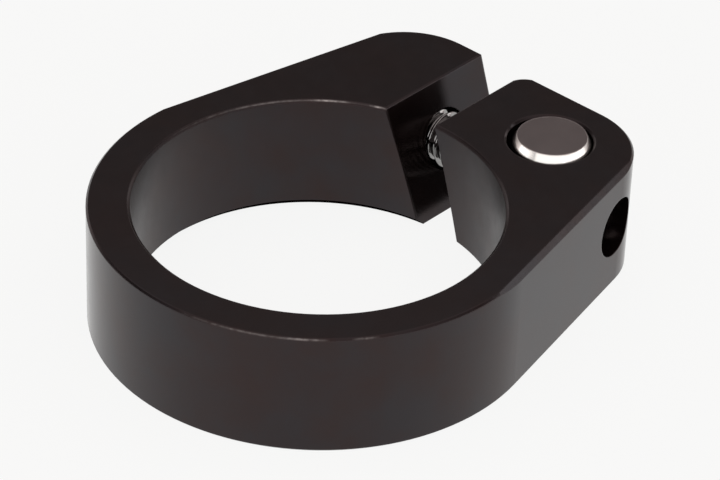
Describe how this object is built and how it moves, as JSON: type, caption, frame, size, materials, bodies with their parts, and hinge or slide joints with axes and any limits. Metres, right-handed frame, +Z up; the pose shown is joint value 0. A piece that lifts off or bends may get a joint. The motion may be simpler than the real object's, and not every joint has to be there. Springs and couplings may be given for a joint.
{
  "type": "seatpost clamp",
  "caption": "Teardrop split collar that grips a bicycle seat tube, drawn tight by a cap screw across its slit into an upright barrel nut.",
  "frame": {"origin": "on the bore axis at half the collar's height", "axes": "+Z up the bore axis, +X from the bore towards the two ears, +Y to the ear that holds the screw's head"},
  "size_m": [0.0475, 0.0392, 0.0118],
  "materials": {
    "black_anodised": "satin black anodised",
    "turned_steel": "bright turned steel",
    "screw_steel": "plain stainless steel"
  },
  "bodies": {
    "collar": {"collar": "black_anodised"},
    "nut": {"barrel_nut": "turned_steel"},
    "washer": {"head_washer": "screw_steel"},
    "screw": {"clamp_screw": "screw_steel"}
  },
  "joints": [
    {"name": "nut_swivel", "type": "hinge", "parent": "collar", "child": "nut", "pos_m": [0.02145, -0.0078, 0.0003], "axis": [0, 0, 1], "range_deg": [-1, 1]},
    {"name": "screw_advance", "type": "slide", "parent": "collar", "child": "washer", "axis": [0, 1, 0], "range_m": [0, 0.0048]},
    {"name": "screw_turn", "type": "hinge", "parent": "washer", "child": "screw", "pos_m": [0.02145, 0, 0.0003], "axis": [0, 1, 0], "range_deg": [0, 2160]}
  ],
  "couplings": [
    {"joint": "screw_turn", "follows": "screw_advance", "rad_per_m": 7854}
  ]
}
